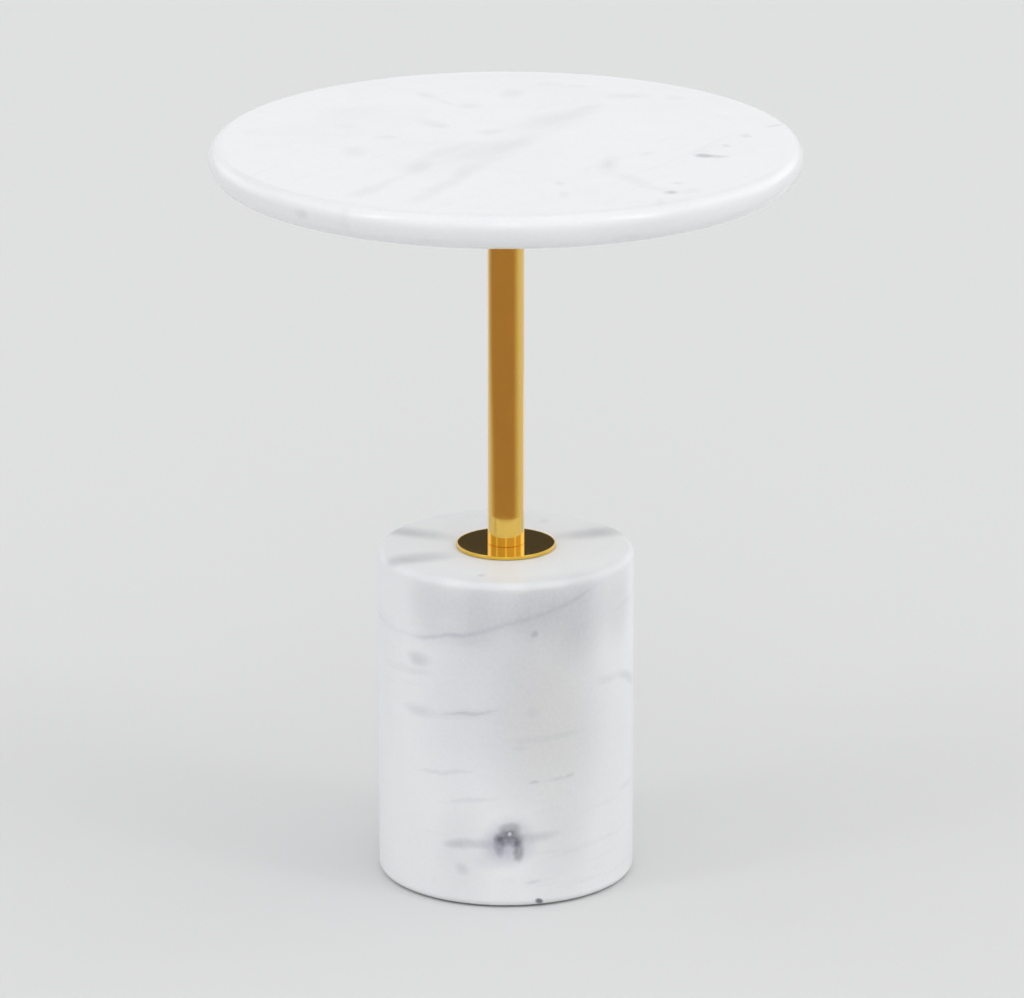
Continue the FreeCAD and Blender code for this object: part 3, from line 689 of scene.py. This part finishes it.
def threaded_material(name, tint, pitch):
    """Zinc-plated thread: a helix in the normals, painted shade in its roots and a faint yellow
    bloom.
    """
    s, at = start_material(name)
    x, y, z = s.xyz(at)
    share_of_turn = s.math("DIVIDE", s.math("ARCTAN2", y, x), 2 * math.pi)
    turns = s.math("SUBTRACT", s.math("DIVIDE", z, pitch), share_of_turn)
    flank = s.math("PINGPONG", turns, 0.5)
    bloom = s.noise(at, 45, 4, 0.6)
    colour = s.mix(s.span(bloom, *BLOOM_RANGE), tint, yellowed(tint, 0.78))
    # Painted shade: the roots of the thread are darkened where the grooves would lie in shade.
    colour = s.mix(s.span(flank, 0.0, 0.25, 0.55, 0.0), colour, times(tint, 0.3))
    rough = s.span(bloom, *NOISE_RANGE, 0.26, 0.4)
    return s.surface(
        Base_Color=colour, Metallic=1.0, Roughness=rough, Normal=s.bump(flank, 0.6 * pitch, 0.8))


def zinc_material(name, tint):
    """Zinc-plated steel: spangle, a faint yellow bloom and handling marks."""
    s, at = start_material(name)
    cells = s.node("ShaderNodeTexVoronoi", {}, {"Vector": at, "Scale": 900.0})
    spangle = cells.outputs["Distance"]
    bloom = s.noise(at, 70, 4, 0.6)
    colour = s.mix(s.span(bloom, *BLOOM_RANGE), tint, yellowed(tint, 0.80))
    colour = s.mix(s.span(spangle, 0.1, 0.7, 0.0, 0.18), colour, times(tint, 0.6))
    rough = s.span(bloom, *NOISE_RANGE, 0.24, 0.38)
    return s.surface(
        Base_Color=colour, Metallic=1.0, Roughness=rough, Normal=s.bump(spangle, 0.02 * MM, 0.5))


def powder_material(name, tint):
    """Black powder coat with its fine orange peel and a few pale specks."""
    s, at = start_material(name)
    peel = s.noise(at, 900, 2, 0.5)
    specks = s.span(s.noise(at, 2600, 1), 0.70, 0.80)
    colour = s.mix(s.span(s.noise(at, 20, 3), *NOISE_RANGE), tint, times(tint, 1.35))
    colour = s.mix(s.math("MULTIPLY", specks, 0.3), colour, (0.12, 0.12, 0.12))
    rough = s.span(peel, *NOISE_RANGE, 0.42, 0.58)
    return s.surface(Base_Color=colour, Roughness=rough, Normal=s.bump(peel, 0.12 * MM, 0.6))


def rubber_material(name, tint):
    """Matt black rubber with a fine grain and grey bloom."""
    s, at = start_material(name)
    grain = s.noise(at, 1500, 2)
    colour = s.mix(s.span(s.noise(at, 40, 4, 0.6), 0.4, 0.75), tint, times(tint, 1.8))
    rough = s.span(grain, *NOISE_RANGE, 0.68, 0.85)
    return s.surface(Base_Color=colour, Roughness=rough, Normal=s.bump(grain, 0.06 * MM, 0.6))


def felt_material(name, tint):
    """Pressed wool: fibres in two directions, pale flecks and a soft sheen."""
    s, at = start_material(name)
    loose = s.vector("ADD", at, s.wander(at, 160, 2, 5 * MM))
    one_way = s.noise(s.mapped(loose, scale=(260, 2200, 2200)), 1.0, 2)
    other_way = s.noise(s.mapped(loose, rotation=(0, 0, 1.1), scale=(240, 2300, 2300)), 1.0, 2)
    fibres = s.math("MAXIMUM", one_way, other_way)
    clumps = s.noise(at, 180, 3)
    colour = s.mix(s.span(fibres, 0.42, 0.72), times(tint, 0.55), times(tint, 1.5))
    colour = s.mix(s.span(clumps, 0.55, 0.8, 0.0, 0.3), colour, times(tint, 2.2))
    return s.surface(
        Base_Color=colour, Roughness=0.95, Normal=s.bump(fibres, 0.35 * MM, 0.8),
        Sheen_Weight=0.4, Sheen_Roughness=0.5)


def spun(outline, sides, closed):
    """A bmesh with a half outline of (radius, height) turned once round the axis."""
    bm = bmesh.new()
    points = [bm.verts.new((radius, 0, height)) for radius, height in outline]
    pairs = list(zip(points, points[1:])) + ([(points[-1], points[0])] if closed else [])
    edges = [bm.edges.new(pair) for pair in pairs]
    bmesh.ops.spin(
        bm, geom=points + edges, cent=(0, 0, 0), axis=(0, 0, 1), angle=2 * math.pi, steps=sides,
        use_merge=True)
    bmesh.ops.remove_doubles(bm, verts=bm.verts, dist=SAME_POINT)
    bmesh.ops.recalc_face_normals(bm, faces=bm.faces)
    return bm


def round_rim(bm, radius, height, offset, segments):
    """Rounds, or with one segment chamfers, the rim at a radius and height."""

    def on_rim(point):
        off_radius, off_height = point.co.xy.length - radius, point.co.z - height
        return abs(off_radius) < SAME_POINT and abs(off_height) < SAME_POINT

    rim = [e for e in bm.edges if on_rim(e.verts[0]) and on_rim(e.verts[1])]
    if not rim:
        raise RuntimeError(f"no rim at radius {radius}, height {height}")
    bmesh.ops.bevel(
        bm, geom=rim, offset=offset, offset_type="OFFSET", segments=segments, profile=0.5,
        affect="EDGES", material=-1)


def object_from(bm, name, material):
    """Makes an object of a bmesh, at the origin."""
    mesh = bpy.data.meshes.new(name)
    bm.to_mesh(mesh)
    bm.free()
    mesh.materials.append(material)
    made = bpy.data.objects.new(name, mesh)
    bpy.context.scene.collection.objects.link(made)
    return made


def piece_from(bm, name, material, nodes):
    """Makes a piece of a bmesh: smooth, with sharp corners kept, in place of its CAD nodes."""
    piece = object_from(bm, name, material)
    piece.data.shade_smooth()
    piece.data.set_sharp_from_angle(angle=SHARP_CORNER)
    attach(piece, BODY)
    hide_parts(*nodes)
    return piece


def repaint(node, material):
    """Gives a CAD node that stays in sight its finish."""
    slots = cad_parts[node].data.materials
    slots.clear()
    slots.append(material)


class SIDETABLE_OT_marble_top(Operator):
    """Makes the round marble top with its blind insert holes"""

    bl_idname = "side_table.marble_top"
    bl_label = "Marble Top"

    def execute(self, context):
        sizes = context.scene.side_table_sizes
        radius, bottom, top = cylinder(TOP_BOX)
        flat_above = radius - sizes.top_upper_round - FLAT_RING
        flat_below = radius - sizes.top_lower_round - FLAT_RING
        outline = [
            (0, top), (flat_above, top), (radius, top), (radius, bottom), (flat_below, bottom),
        ]
        bm = spun(outline, sizes.sides, closed=False)
        round_rim(bm, radius, top, sizes.top_upper_round, sizes.round_steps)
        round_rim(bm, radius, bottom, sizes.top_lower_round, sizes.round_steps)

        outer_ring = [e for e in bm.edges if e.is_boundary]
        from_axis = INSERT_BOX[1].x - (sizes.insert_hole / 2 - INSERT_GAP)
        holes = []
        for quarter in range(4):
            turn = Matrix.Rotation(quarter * math.pi / 2, 4, "Z")
            made = bmesh.ops.create_circle(
                bm, cap_ends=False, segments=HOLE_SIDES, radius=sizes.insert_hole / 2,
                matrix=turn @ Matrix.Translation((from_axis, 0, bottom)))
            holes += list({e for v in made["verts"] for e in v.link_edges})
        bmesh.ops.triangle_fill(
            bm, edges=outer_ring + holes, use_beauty=True, use_dissolve=False, normal=(0, 0, -1))
        drilled = bmesh.ops.extrude_edge_only(bm, edges=holes)["geom"]
        ends = [g for g in drilled if isinstance(g, bmesh.types.BMVert)]
        bmesh.ops.translate(bm, verts=ends, vec=(0, 0, sizes.insert_hole_depth))
        end_edges = [g for g in drilled if isinstance(g, bmesh.types.BMEdge)]
        bmesh.ops.edgeloop_fill(bm, edges=[e for e in end_edges if e.is_boundary])
        bmesh.ops.recalc_face_normals(bm, faces=bm.faces)

        marks = [side_mark(mark, TOP_BOX) for mark in TOP_RIM_MARKS]
        marks += [top_mark(mark, TOP_BOX) for mark in TOP_MARKS]
        stone = stone_material("marble of the top", marks, TOP_LOOK)
        piece_from(bm, "marble_top", stone, ["table_top"])
        return {"FINISHED"}


class SIDETABLE_OT_marble_base(Operator):
    """Makes the marble cylinder with its bore, bush socket and nut recess"""

    bl_idname = "side_table.marble_base"
    bl_label = "Marble Base"

    def execute(self, context):
        sizes = context.scene.side_table_sizes
        radius, bottom, top = cylinder(BASE_BOX)
        bore = sizes.base_bore / 2
        socket = across(BUSH_BOX) / 2 + sizes.socket_gap
        socket_floor = BUSH_BOX[0].z - sizes.socket_gap
        recess = across(WASHER_BOX) / 2 + sizes.recess_gap
        recess_roof = WASHER_BOX[1].z
        flat = radius - sizes.base_round - FLAT_RING
        outline = [
            (flat, top), (radius, top),
            (radius, top - sizes.base_round - FLAT_RING),
            (radius, bottom + sizes.base_round + FLAT_RING),
            (radius, bottom), (flat, bottom),
            (recess, bottom), (recess, recess_roof), (bore, recess_roof),
            (bore, socket_floor), (socket, socket_floor), (socket, top),
        ]
        bm = spun(outline, sizes.sides, closed=True)
        round_rim(bm, radius, top, sizes.base_round, sizes.round_steps)
        round_rim(bm, radius, bottom, sizes.base_round, sizes.round_steps)
        round_rim(bm, recess, bottom, sizes.recess_chamfer, 1)

        marks = [side_mark(mark, BASE_BOX) for mark in BASE_SIDE_MARKS_AND_PAINTED_LIGHT]
        marks += [top_mark(mark, BASE_BOX) for mark in BASE_TOP_MARKS]
        stone = stone_material("marble of the base", marks, BASE_LOOK, BASE_VEIN)
        piece_from(bm, "marble_base", stone, ["base_block"])
        return {"FINISHED"}


class SIDETABLE_OT_brass_stem(Operator):
    """Makes the polished tube and the flange at its foot"""

    bl_idname = "side_table.brass_stem"
    bl_label = "Brass Stem"

    def execute(self, context):
        sizes = context.scene.side_table_sizes
        radius, bottom, top = cylinder(TUBE_BOX)
        bore = radius - sizes.tube_wall
        outline = [(radius, bottom), (radius, top), (bore, top), (bore, bottom)]
        bm = spun(outline, sizes.sides, closed=True)
        round_rim(bm, radius, top, sizes.tube_chamfer, 1)
        round_rim(bm, radius, bottom, sizes.tube_chamfer, 1)
        tube_brass = brass_material(
            "polished brass of the tube", ring_scale=(60, 60, 1500), roughness=0.06, lacquer=1.0)
        piece_from(bm, "brass_tube", tube_brass, ["stem_tube"])

        radius, bottom, top = cylinder(FLANGE_BOX)
        outline = [
            (bore, top), (radius - sizes.flange_round - FLAT_RING, top), (radius, top),
            (radius, bottom), (bore, bottom),
        ]
        bm = spun(outline, sizes.sides, closed=True)
        steps = max(SMALL_ROUND_STEPS, sizes.round_steps // 2)
        round_rim(bm, radius, top, sizes.flange_round, steps)
        flange_brass = brass_material(
            "polished brass of the flange", ring_scale=(240, 240, 240), roughness=0.02,
            lacquer=0.0)
        piece_from(bm, "brass_flange", flange_brass, ["flange"])
        return {"FINISHED"}


class SIDETABLE_OT_felt(Operator):
    """Makes the felt disc under the base, with a slightly uneven cut rim"""

    bl_idname = "side_table.felt"
    bl_label = "Felt Disc"

    def execute(self, context):
        sizes = context.scene.side_table_sizes
        radius, bottom, top = cylinder(FELT_BOX)
        flat = radius - sizes.felt_round - FLAT_RING
        outline = [
            (0, top), (flat, top), (radius, top), (radius, bottom), (flat, bottom), (0, bottom),
        ]
        bm = spun(outline, sizes.sides, closed=False)
        round_rim(bm, radius, top, sizes.felt_round, SMALL_ROUND_STEPS)
        round_rim(bm, radius, bottom, sizes.felt_round, SMALL_ROUND_STEPS)
        for point in bm.verts:
            if point.co.xy.length > flat + SAME_POINT:
                angle = math.atan2(point.co.y, point.co.x)
                waves = 0.5
                for share, count, start in FELT_WAVES:
                    waves += share * math.sin(count * angle + start)
                shrink = 1 - sizes.felt_unevenness * waves / radius
                point.co.x *= shrink
                point.co.y *= shrink
        felt = felt_material("pressed felt", context.scene.side_table_colours.felt)
        piece = piece_from(bm, "felt_underlay", felt, ["felt_disc"])
        return {"FINISHED"}


class SIDETABLE_OT_fastenings(Operator):
    """Finishes the rod, nut, washers, screws, bush, hub, inserts, plate and gaskets"""

    bl_idname = "side_table.fastenings"
    bl_label = "Fastenings"

    def execute(self, context):
        colours = context.scene.side_table_colours
        turned = turned_material(
            "turned brass", colours.turned_brass, groove_pitch=0.25 * MM, roughness=0.24)
        plated = zinc_material("zinc plate", colours.zinc)
        threaded = threaded_material("zinc plated thread", colours.zinc, pitch=1.5 * MM)
        coated = powder_material("black powder coat", colours.powder)
        rubber = rubber_material("black rubber", colours.rubber)
        finishes = {
            turned: ("centring_bush", "top_hub", "stone_inserts"),
            plated: ("base_nut", "spring_washer", "load_washer", "plate_screws"),
            threaded: ("tie_rod",),
            coated: ("top_plate",),
            rubber: ("flange_gasket", "plate_gasket"),
        }
        for material, nodes in finishes.items():
            for node in nodes:
                repaint(node, material)
        return {"FINISHED"}


def grey(level):
    """A grey of one brightness."""
    return level, level, level


def set_world(stage, colours):
    """Soft studio light by direction: a white tent, dim low walls, three upright lamps in front."""
    s = Shader(bpy.data.worlds.new("studio"))
    x, y, z = s.xyz(s.node("ShaderNodeTexCoord").outputs["Generated"])
    aside = s.math("ABSOLUTE", x)
    tent = s.mix(s.span(y, *TENT_FRONT_TO_BACK), grey(stage.tent_front), grey(stage.tent_back))
    tent = s.mix(s.span(aside, *TENT_TO_SIDES), tent, grey(stage.tent_sides))
    tent = s.mix(s.span(z, *TENT_TO_ZENITH), tent, grey(stage.zenith))
    behind = s.mix(
        s.span(aside, *WALL_TO_CORNERS), grey(stage.back_wall), grey(stage.back_corners))
    walls = s.mix(s.span(y, *WALL_FRONT_TO_BACK), grey(stage.front_wall), behind)
    light = s.mix(s.span(z, *WALLS_TO_TENT), walls, tent)

    turn = s.math("ABSOLUTE", s.turn(x, y))
    from_side_lamp = s.math("ABSOLUTE", s.math("SUBTRACT", turn, stage.strip_turn))
    from_lamp = s.math("MINIMUM", turn, from_side_lamp)
    upright = s.math("MULTIPLY", s.span(z, *LAMP_FOOT), s.span(z, *LAMP_HEAD, 1.0, 0.0))
    lamp_places = s.math("MULTIPLY", s.span(from_lamp, *LAMP_EDGE, 1.0, 0.0), upright)
    lamps = s.mix(
        s.span(turn, *LAMP_FRONT_TO_SIDES), grey(stage.front_strip), grey(stage.strip))
    lamps = s.mix(s.span(z, *LAMP_DIM_TO_BRIGHT), grey(stage.strip_foot), lamps)
    light = s.mix(lamp_places, light, lamps)

    lean = s.math("ADD", 1.0, s.math("MULTIPLY", x, stage.right_lean))
    cool = s.span(x, *COOL_TO_NEUTRAL, 1.0, 0.0)
    light = s.vector("MULTIPLY", s.scaled(light, lean), s.mix(cool, grey(1.0), COOL_TINT))
    light = s.mix(s.span(z, *FLOOR_TO_WALLS), colours.floor, light)
    shade = s.node("ShaderNodeBackground", {}, {"Color": light, "Strength": stage.light})
    bpy.context.scene.world = s.close(shade, "ShaderNodeOutputWorld")


def stage_piece(bm, name, material):
    """A piece of the studio, which is not part of the table."""
    made = object_from(bm, name, material)
    return made


def set_floor(stage, colours):
    """Lays the matt pale floor: open under the felt, and clear to a camera below it."""
    bm = spun([(stage.floor_hole, 0), (stage.floor_reach, 0)], FLOOR_SIDES, closed=False)
    bm.normal_update()
    if next(iter(bm.faces)).normal.z < 0:
        bmesh.ops.reverse_faces(bm, faces=bm.faces)
    s = Shader(bpy.data.materials.new("pale studio floor"))
    paint = s.node("ShaderNodeBsdfDiffuse", {}, {"Color": rgba(colours.floor)})
    clear = s.node("ShaderNodeBsdfTransparent")
    below = s.node("ShaderNodeNewGeometry").outputs["Backfacing"]
    either = s.node(
        "ShaderNodeMixShader", {}, {0: below, 1: paint.outputs[0], 2: clear.outputs[0]})
    stage_piece(bm, "floor", s.close(either))


def set_card(bm, name, s, colour):
    """Sets up a card with an even glow that polished surfaces mirror and nothing else meets."""
    glow = s.node("ShaderNodeEmission", {}, {"Color": rgba(colour), "Strength": 1.0})
    card = stage_piece(bm, name, s.close(glow))
    card.visible_camera = False
    card.visible_diffuse = False
    card.visible_transmission = False
    card.visible_shadow = False


def ring_part(inner, outer, start, turn, steps):
    """A bmesh with part of a flat ring just over the floor; its start is a turn from the front."""
    bm = bmesh.new()
    ends = [bm.verts.new((0, -reach, MM)) for reach in (inner, outer)]
    edge = bm.edges.new(ends)
    bmesh.ops.rotate(bm, verts=ends, cent=(0, 0, 0), matrix=Matrix.Rotation(start, 3, "Z"))
    bmesh.ops.spin(
        bm, geom=ends + [edge], cent=(0, 0, 0), axis=(0, 0, 1), angle=turn, steps=steps)
    return bm


def set_brown_card(stage, colours):
    """Lays the brown card round the front of the table; its edges fade into the floor's colour."""
    widest_left = stage.card_left_turn + stage.card_taper
    bm = ring_part(
        stage.card_inner, stage.card_outer, -widest_left, widest_left + stage.card_right_turn,
        BROWN_CARD_STEPS)
    s, at = start_material("brown card")
    x, y, _ = s.xyz(at)
    turn, reach = s.turn(x, y), s.vector("LENGTH", at)
    right_end = s.span(turn, stage.card_right_turn - stage.card_fade, stage.card_right_turn)
    widened = s.span(
        reach, stage.card_taper_start, stage.card_taper_start + stage.card_taper_reach,
        0.0, stage.card_taper)
    left_end = s.span(
        s.math("ADD", turn, widened), -stage.card_left_turn,
        stage.card_fade - stage.card_left_turn, 1.0, 0.0)
    inner_edge = s.span(
        reach, stage.card_inner, stage.card_inner + stage.card_inner_fade, 1.0, 0.0)
    faded = s.math("ADD", s.math("ADD", right_end, left_end), inner_edge, clamp=True)
    set_card(bm, "card", s, s.mix(faded, stage.card, colours.floor))


def set_flag(stage):
    """Stands the oval dark flag behind the stem."""
    bm = bmesh.new()
    upright = Matrix.Translation((0, stage.flag_distance, stage.flag_height))
    upright = upright @ Matrix.Rotation(math.pi / 2, 4, "X")
    upright = upright @ Matrix.Diagonal((1, stage.flag_squash, 1, 1))
    bmesh.ops.create_circle(
        bm, cap_ends=True, segments=FLAG_SIDES, radius=stage.flag_spread * across(FLANGE_BOX) / 2,
        matrix=upright)
    set_card(bm, "flag", Shader(bpy.data.materials.new("dark flag")), stage.flag)


def set_white_card(stage):
    """Lays the white card that edges the base."""
    bm = ring_part(
        stage.gleam_near, stage.gleam_far, stage.gleam_start, stage.gleam_turn, WHITE_CARD_STEPS)
    set_card(bm, "gleam", Shader(bpy.data.materials.new("white card")), grey(stage.gleam))


def set_camera(stage):
    """Sets the camera in front of the table."""
    scene = bpy.context.scene
    data = bpy.data.cameras.new("camera")
    data.lens = stage.lens
    data.clip_end = CAMERA_REACH
    camera = bpy.data.objects.new("camera", data)
    scene.collection.objects.link(camera)
    camera.location = stage.camera_place
    camera.rotation_euler = (math.pi / 2 - stage.camera_dip, 0, 0)
    scene.camera = camera


class SIDETABLE_OT_stage(Operator):
    """Sets the floor, the three cards that polished surfaces mirror, the light and the camera"""

    bl_idname = "side_table.stage"
    bl_label = "Stage"

    def execute(self, context):
        scene = context.scene
        stage, colours = scene.side_table_stage, scene.side_table_colours
        set_floor(stage, colours)
        set_brown_card(stage, colours)
        set_flag(stage)
        set_white_card(stage)
        set_world(stage, colours)
        set_camera(stage)
        scene.view_settings.view_transform = "Standard"
        return {"FINISHED"}


OPERATORS = (
    SIDETABLE_OT_marble_top,
    SIDETABLE_OT_marble_base,
    SIDETABLE_OT_brass_stem,
    SIDETABLE_OT_felt,
    SIDETABLE_OT_fastenings,
    SIDETABLE_OT_stage,
)


class SIDETABLE_PT_panel(Panel):
    bl_label = "Side Table"
    bl_space_type = "VIEW_3D"
    bl_region_type = "UI"
    bl_category = "Side Table"

    def draw(self, context):
        scene = context.scene
        for operator in OPERATORS:
            self.layout.operator(operator.bl_idname)
        for group in (scene.side_table_sizes, scene.side_table_colours, scene.side_table_stage):
            box = self.layout.box()
            for name in group.__annotations__:
                box.prop(group, name)


CLASSES = (SideTableSizes, SideTableColours, SideTableStage, *OPERATORS, SIDETABLE_PT_panel)


def register():
    for item in CLASSES:
        bpy.utils.register_class(item)
    bpy.types.Scene.side_table_sizes = PointerProperty(type=SideTableSizes)
    bpy.types.Scene.side_table_colours = PointerProperty(type=SideTableColours)
    bpy.types.Scene.side_table_stage = PointerProperty(type=SideTableStage)


def unregister():
    del bpy.types.Scene.side_table_stage
    del bpy.types.Scene.side_table_colours
    del bpy.types.Scene.side_table_sizes
    for item in reversed(CLASSES):
        bpy.utils.unregister_class(item)


def main():
    register()
    bpy.ops.side_table.marble_top()
    bpy.ops.side_table.marble_base()
    bpy.ops.side_table.brass_stem()
    bpy.ops.side_table.felt()
    bpy.ops.side_table.fastenings()
    bpy.ops.side_table.stage()


if __name__ == "__main__":
    main()
